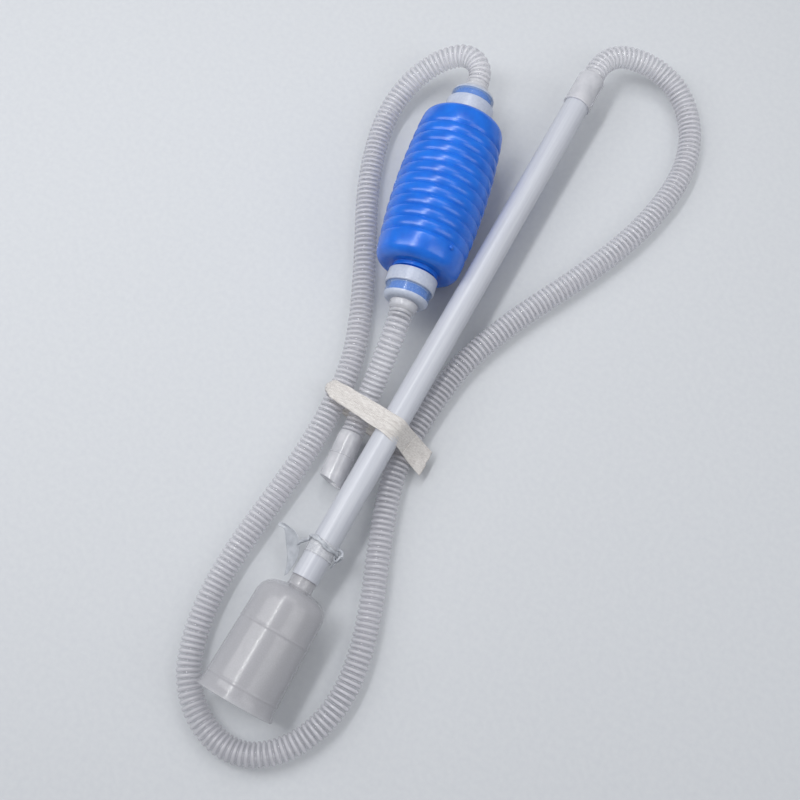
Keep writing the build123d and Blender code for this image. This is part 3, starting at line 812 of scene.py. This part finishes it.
def grain(tree, shader, size, depth, stretch=(1, 1, 1)):
    """Fine unevenness of a surface: size is its spacing and depth its height, in millimetres."""
    place = add(tree, "TexCoord").outputs["Object"]
    scaled = add(tree, "Mapping", {"Vector": place}, Scale=stretch)
    uneven = add(
        tree, "TexNoise", {"Vector": scaled.outputs["Vector"]}, Scale=1 / (size * MM), Detail=3.0,
    )
    bump = add(tree, "Bump", {"Height": uneven.outputs["Fac"]}, Strength=0.6, Distance=depth * MM)
    tree.links.new(bump.outputs["Normal"], shader.inputs["Normal"])
    return uneven.outputs["Fac"]


def tinted(tree, shader, factor, low, high, span=(0.3, 0.7)):
    """Base colour between two hex colours, by a factor."""
    ramp = add(tree, "ValToRGB", {"Fac": factor})
    for stop, position, code in zip(ramp.color_ramp.elements, span, (low, high)):
        stop.position = position
        stop.color = srgb(code)
    tree.links.new(ramp.outputs["Color"], shader.inputs["Base Color"])


def frosted_polypropylene():
    """Injection-moulded polypropylene, frosted by its mould: it half hides what is behind it."""
    made, tree, shader = material(
        "frosted_polypropylene", Roughness=0.22, IOR=1.49, Alpha=0.5, Coat_Weight=0.3,
    )
    spots = grain(tree, shader, 0.5, 0.012)
    tinted(tree, shader, spots, "#BCBCC1", "#C6C6CB")
    return made


def extruded_polyethylene():
    """Extruded low-density polyethylene pipe: milky, with faint draw lines along it."""
    made, tree, shader = material("extruded_polyethylene", Roughness=0.3, IOR=1.51, Alpha=0.8)
    lines = grain(tree, shader, 1.1, 0.015, stretch=(1, 0.03, 1))
    tinted(tree, shader, lines, "#CBCED8", "#D6D9E1")
    return made


def corrugated_soft_vinyl():
    """Blow-moulded clear soft PVC that lets more through in its valleys; its colour carries a
    painted highlight, lighter on the crests, and painted shade, darker in the valleys.
    """
    made, tree, shader = material("corrugated_soft_vinyl", Roughness=0.1, IOR=1.53, Coat_Weight=1.0)
    crest = add(tree, "Attribute", attribute_name="crest")
    grain(tree, shader, 1.5, 0.4)
    # Painted highlight and painted shade: the colour runs from dark in the valleys to light on the
    # crests, by the crest attribute.
    tinted(tree, shader, crest.outputs["Fac"], "#84858F", "#DAD9E0", span=(0.0, 0.9))
    cover = add(tree, "MapRange", {"Value": crest.outputs["Fac"]}, To_Min=0.22, To_Max=0.5)
    tree.links.new(cover.outputs["Result"], shader.inputs["Alpha"])
    return made


def smooth_soft_vinyl():
    """The hose's smooth moulded ends: clear soft PVC, glossy, nearly colourless."""
    made, tree, shader = material(
        "smooth_soft_vinyl", Roughness=0.12, IOR=1.53, Alpha=0.5, Coat_Weight=0.6,
    )
    cloud = grain(tree, shader, 6.0, 0.03)
    tinted(tree, shader, cloud, "#D4D5DB", "#EBEBF0")
    return made


def milky_polyethylene():
    """The caps' collars and shoulders: moulded polyethylene, milky where the wall is thick."""
    made, tree, shader = material("milky_polyethylene", Roughness=0.3, IOR=1.51, Alpha=0.84)
    cloud = grain(tree, shader, 1.4, 0.04)
    tinted(tree, shader, cloud, "#BAC2D4", "#CAD1E0")
    return made


def thin_polyethylene():
    """The caps' thin drums: the same plastic, clear enough to be filled by the neck's blue."""
    made, tree, shader = material(
        "thin_polyethylene", Roughness=0.16, IOR=1.51, Alpha=0.42, Coat_Weight=0.5,
    )
    cloud = grain(tree, shader, 1.4, 0.04)
    tinted(tree, shader, cloud, "#6C9AE2", "#8FB4EE")
    return made


def blow_moulded_blue():
    """Blow-moulded flexible polyethylene, dyed blue: semi-gloss, a little cloudy."""
    made, tree, shader = material(
        "blow_moulded_blue", Roughness=0.27, IOR=1.51, Coat_Weight=0.12, Coat_Roughness=0.15,
        Subsurface_Weight=0.12, Subsurface_Radius=(0.001, 0.002, 0.006),
    )
    cloud = grain(tree, shader, 9.0, 0.04)
    tinted(tree, shader, cloud, "#0F60CA", "#1570DE")
    return made


def stretched_film():
    """Cream stretch film in several turns: waxy, creased along the pull."""
    made, tree, shader = material(
        "stretched_film", Roughness=0.38, IOR=1.49, Alpha=0.8, Sheen_Weight=0.1,
    )
    crease = grain(tree, shader, 0.8, 0.14, stretch=(0.05, 1.3, 1))
    tinted(tree, shader, crease, "#CFCAC7", "#ECE9E6")
    return made


def clear_film():
    """Thin clear packing film, rolled and folded on itself: glossy and grey-white."""
    made, tree, shader = material("folded_packing_film", Roughness=0.22, IOR=1.49, Alpha=0.93)
    crease = grain(tree, shader, 4.0, 0.06)
    tinted(tree, shader, crease, "#A8ACB4", "#C5C9D0")
    return made


def single_film():
    """The same packing film in one layer, which only whitens what it covers."""
    made, tree, shader = material("single_packing_film", Roughness=0.2, IOR=1.49, Alpha=0.3)
    crease = grain(tree, shader, 1.6, 0.12)
    tinted(tree, shader, crease, "#D2D4D9", "#EDEEF1")
    return made


def moulded_nylon():
    """Valve seats and guards: plain white moulded nylon."""
    made, tree, shader = material("moulded_nylon", Roughness=0.42, IOR=1.53)
    cloud = grain(tree, shader, 1.2, 0.05)
    tinted(tree, shader, cloud, "#D9DADB", "#E6E6E4")
    return made


def soft_rubber():
    """Valve discs: die-cut soft rubber, dull and slightly dusty."""
    made, tree, shader = material("die_cut_rubber", Roughness=0.75, IOR=1.52)
    dust = grain(tree, shader, 0.6, 0.05)
    tinted(tree, shader, dust, "#38393B", "#4A4B4D")
    return made


frosted = frosted_polypropylene()
milky_pipe = extruded_polyethylene()
hose_vinyl = corrugated_soft_vinyl()
smooth_vinyl = smooth_soft_vinyl()
collar_milk = milky_polyethylene()
drum_clear = thin_polyethylene()
blue = blow_moulded_blue()
cream_film = stretched_film()
packing_film = clear_film()
thin_film = single_film()
nylon = moulded_nylon()
rubber = soft_rubber()

for piece, finish in (
    (cup, frosted), (tube, milky_pipe), (main_hose, hose_vinyl), (outlet_hose, hose_vinyl),
    (intake_cuff, smooth_vinyl), (inlet_cuff, smooth_vinyl), (outlet_cuff, smooth_vinyl),
    (nozzle, smooth_vinyl), (bulb, blue), (tie, cream_film), (tie_tail, cream_film),
    (wrap, thin_film), (strip, packing_film), (flag, packing_film),
):
    piece.data.materials.clear()
    piece.data.materials.append(finish)

for cap, place in ((inlet_cap, inlet_place), (outlet_cap, outlet_place)):
    cap.data.materials.clear()
    cap.data.materials.append(collar_milk)
    cap.data.materials.append(drum_clear)
    back = place.inverted()
    for face in cap.data.polygons:
        s = (back @ face.center).x / MM
        face.material_index = int(COLLAR_END < s < CLEAR_END)

for valve in ("inlet", "outlet"):
    for part, finish in (("seat", nylon), ("guard", nylon), ("disc", rubber)):
        cad_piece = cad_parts[f"{valve}_valve_{part}"]
        cad_piece.data.materials.clear()
        cad_piece.data.materials.append(finish)

# ---------------------------------------------------------------- what each piece rides on
for piece, body, slot, replaced in (
    (cup, "cup", "frosted_cup", ("gravel_cup",)),
    (tube, "root", "milky_tube", ("intake_tube",)),
    (intake_cuff, "root", "clear_hose", ("intake_cuff",)),
    (main_hose, "root", "clear_hose", ("main_hose",)),
    (inlet_cuff, "root", "clear_hose", ("bulb_inlet_cuff",)),
    (bulb, "root", "blue_bulb", ("pump_bulb",)),
    (inlet_cap, "inlet_cap_body", "milky_cap", ("inlet_cap",)),
    (outlet_cap, "outlet_cap_body", "milky_cap", ("outlet_cap",)),
    (outlet_cuff, "outlet_end", "clear_hose", ("bulb_outlet_cuff",)),
    (outlet_hose, "outlet_end", "clear_hose", ("outlet_hose",)),
    (nozzle, "outlet_end", "clear_hose", ("outlet_nozzle",)),
    (tie, "root", "tie_film", ("bundle_tie",)),
    (tie_tail, "root", "tie_film", ()),
    (wrap, "root", "clear_film", ()),
    (strip, "root", "clear_film", ("film_strip",)),
    (flag, "root", "clear_film", ("film_flag",)),
):
    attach(piece, body)
    if replaced:
        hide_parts(*replaced)

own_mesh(bulb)
# The outlet hose is under six diameters long.

# ---------------------------------------------------------------- floor and light
start_alone()
bpy.ops.mesh.primitive_plane_add(size=6.0)
floor = bpy.context.object
floor.name = "floor"
floor_paint, floor_tree, floor_shader = material("matt_paper", Roughness=0.85)
floor_fibre = grain(floor_tree, floor_shader, 3.0, 0.05)
tinted(floor_tree, floor_shader, floor_fibre, "#C6C9CE", "#CACDD1")
floor.data.materials.append(floor_paint)


def softbox(name, spot, width, height, power, aim=CAMERA_TARGET):
    """A soft rectangular light, aimed at the middle of the bundle if nothing else is said."""
    bpy.ops.object.light_add(type="AREA", location=spot)
    light = bpy.context.object
    light.name = name
    light.data.shape = "RECTANGLE"
    light.data.size, light.data.size_y = width, height
    light.data.energy = power
    light.rotation_euler = (Vector(aim) - Vector(spot)).to_track_quat("-Z", "Y").to_euler()


softbox("key_softbox", (-0.55, -0.15, 0.75), 0.35, 0.9, 3.8)
softbox("fill_softbox", (0.70, 0.10, 0.8), 0.5, 0.8, 2.8)
softbox("top_softbox", (0.0, 0.55, 0.9), 0.8, 0.3, 1.6)
# Long and narrow, alongside the tube, for the long streaks on the cup and the barrel.
softbox("strip_softbox", (-0.28, 0.15, 0.85), 1.0, 0.09, 3.2, aim=(0.02, 0.15, 0.0))

world = bpy.data.worlds.new("studio")
world.use_nodes = True
sky = world.node_tree.nodes["Background"]
sky.inputs["Color"].default_value = srgb("#E6E8EC")
sky.inputs["Strength"].default_value = 0.33
bpy.context.scene.world = world
bpy.context.scene.view_settings.view_transform = "Standard"
